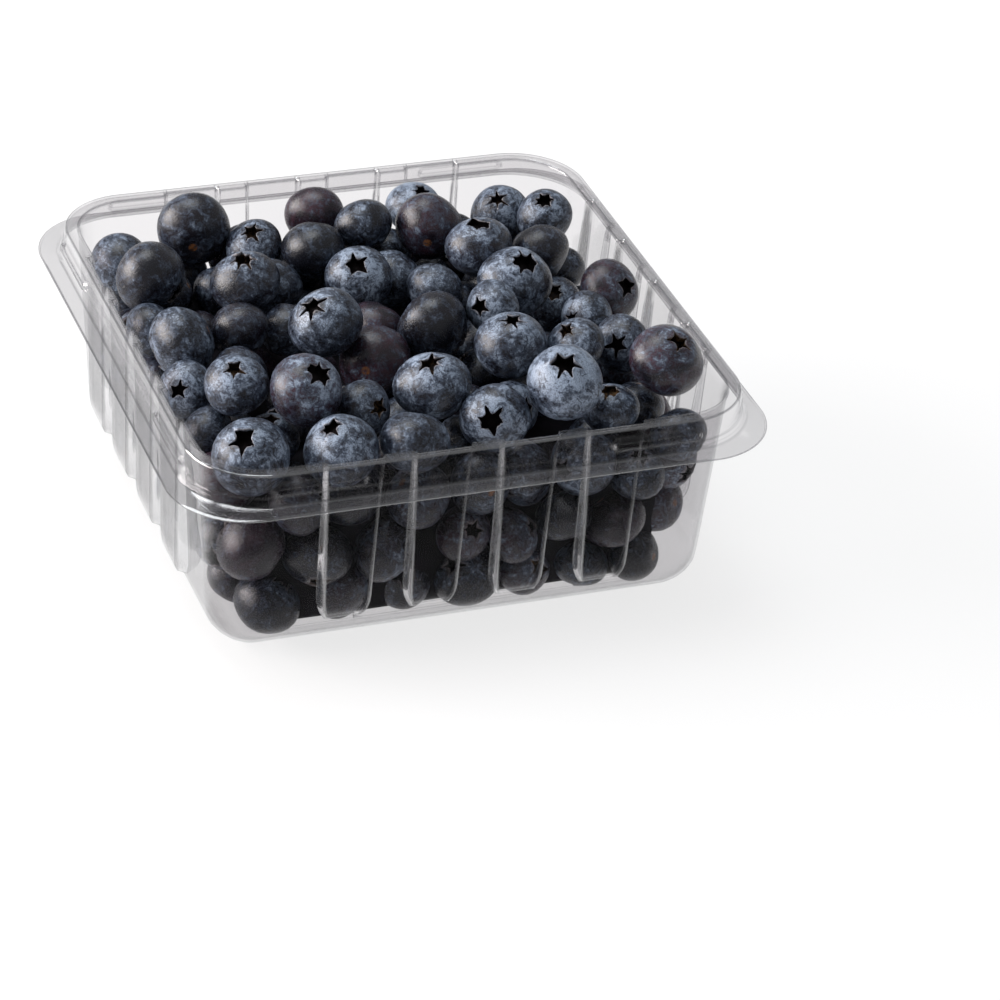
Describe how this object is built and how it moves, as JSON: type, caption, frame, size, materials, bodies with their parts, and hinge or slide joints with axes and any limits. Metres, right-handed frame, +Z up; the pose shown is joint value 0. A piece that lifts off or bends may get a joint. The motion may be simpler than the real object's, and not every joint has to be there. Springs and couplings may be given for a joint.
{
  "type": "punnet of blueberries",
  "caption": "Square clear plastic punnet with fluted walls and a flanged snap rim, open at the top and heaped with fresh blueberries.",
  "frame": {"origin": "middle of the base's underside, which is also the bottom centre of the bounding box", "axes": "+Z up, +X and +Y along the sides of the square punnet, the shown front-left corner towards -X and -Y"},
  "size_m": [0.1254, 0.1254, 0.0564],
  "materials": {
    "clear_plastic": "thin clear thermoformed sheet, glossy",
    "berry_skin": "dark blue-black skin with a pale waxy bloom, satin"
  },
  "bodies": {
    "root": {"punnet": "clear_plastic", "blueberries": "berry_skin"}
  },
  "joints": []
}
